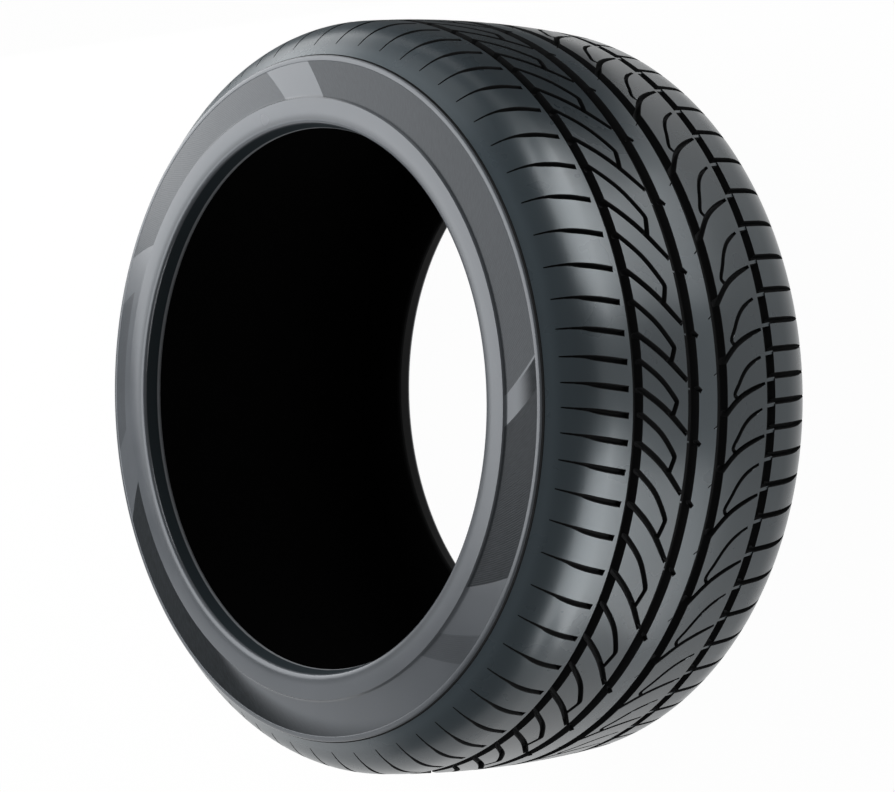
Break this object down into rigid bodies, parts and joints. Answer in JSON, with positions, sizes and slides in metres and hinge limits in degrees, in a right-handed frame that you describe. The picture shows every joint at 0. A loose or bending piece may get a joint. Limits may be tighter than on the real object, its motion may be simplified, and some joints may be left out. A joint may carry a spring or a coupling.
{
  "type": "car tyre",
  "caption": "Wide low-profile car tyre with plain sidewalls, round shoulders and a directional road tread of long grooves and slanted hooked cuts, for an 18 inch wheel rim.",
  "frame": {"origin": "middle of the tyre, on its axis and halfway between the beads", "axes": "+Z along the wheel's axis, out of the sidewall that the picture shows; +X and +Y across the tyre"},
  "size_m": [0.6458, 0.6458, 0.31],
  "materials": {
    "tyre": "moulded rubber, satin"
  },
  "bodies": {
    "root": {"tyre": "tyre"}
  },
  "joints": []
}
